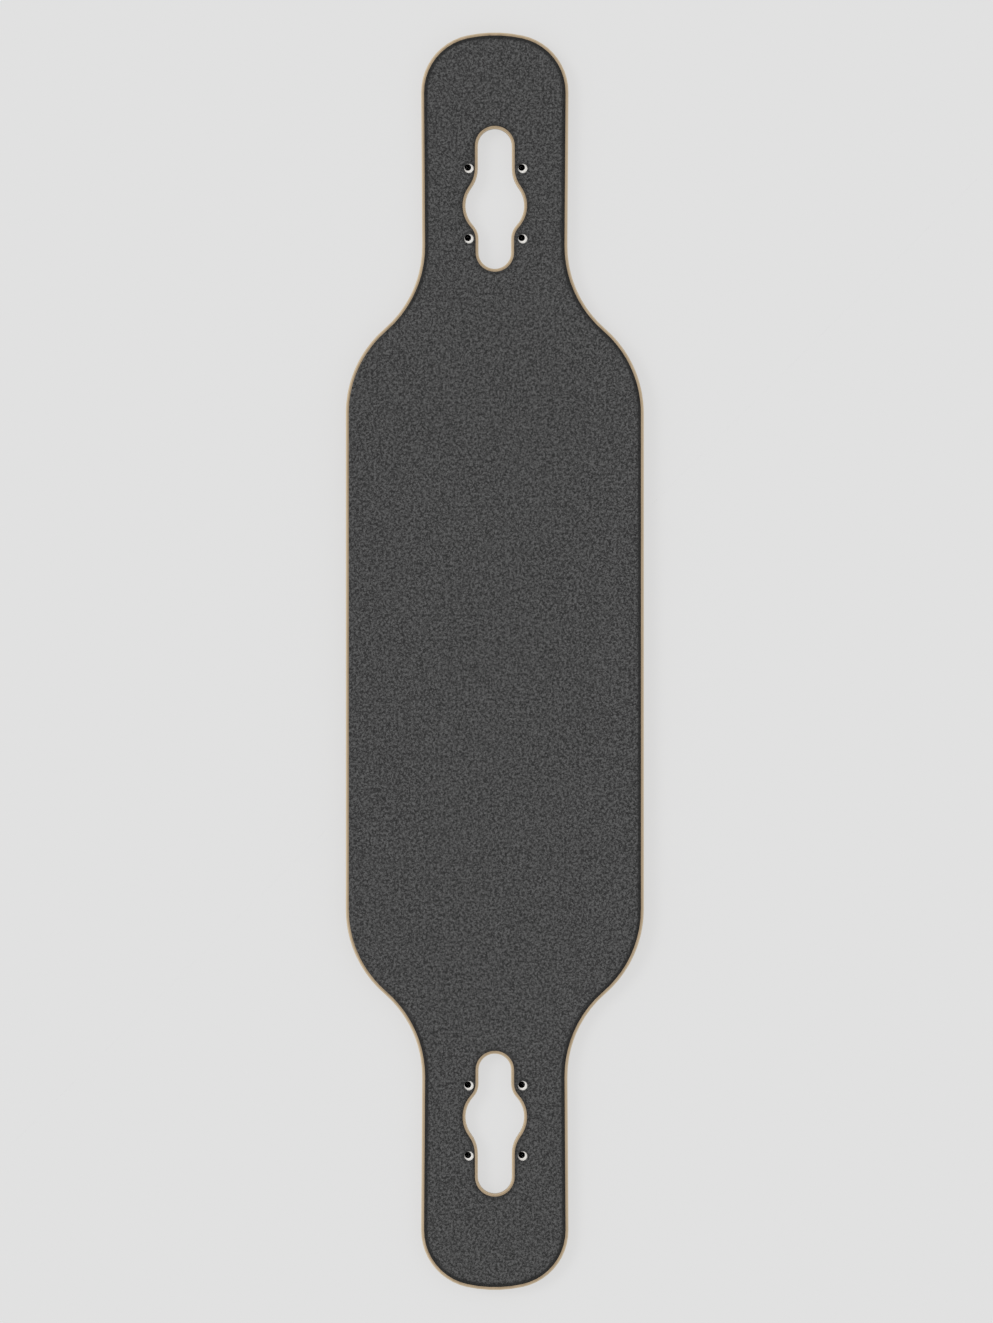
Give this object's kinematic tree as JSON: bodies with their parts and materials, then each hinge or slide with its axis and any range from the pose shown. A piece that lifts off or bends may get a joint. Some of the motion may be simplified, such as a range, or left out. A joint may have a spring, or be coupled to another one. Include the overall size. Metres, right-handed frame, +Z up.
{
  "type": "longboard deck",
  "caption": "Drop-through longboard deck of pressed maple veneers with black grip tape, raised rails, necked nose and tail, and a truck cut-out and bolt holes at each end.",
  "frame": {"origin": "on the underside, below the middle of the deck", "axes": "+Y along the deck towards the nose, +Z up through the grip tape, +X across the deck"},
  "size_m": [0.2286, 0.965, 0.0167],
  "materials": {
    "maple_along": "satin lacquer, grain along the deck",
    "maple_across": "satin lacquer, grain across the deck",
    "grip": "coarse black grit on film"
  },
  "bodies": {
    "root": {"ply_1_bottom_face": "maple_along", "ply_2_long_grain": "maple_along", "ply_3_cross_grain": "maple_across", "ply_4_long_grain": "maple_along", "ply_5_cross_grain_core": "maple_across", "ply_6_long_grain": "maple_along", "ply_7_cross_grain": "maple_across", "ply_8_long_grain": "maple_along", "ply_9_top_face": "maple_along", "grip_tape": "grip"}
  },
  "joints": []
}
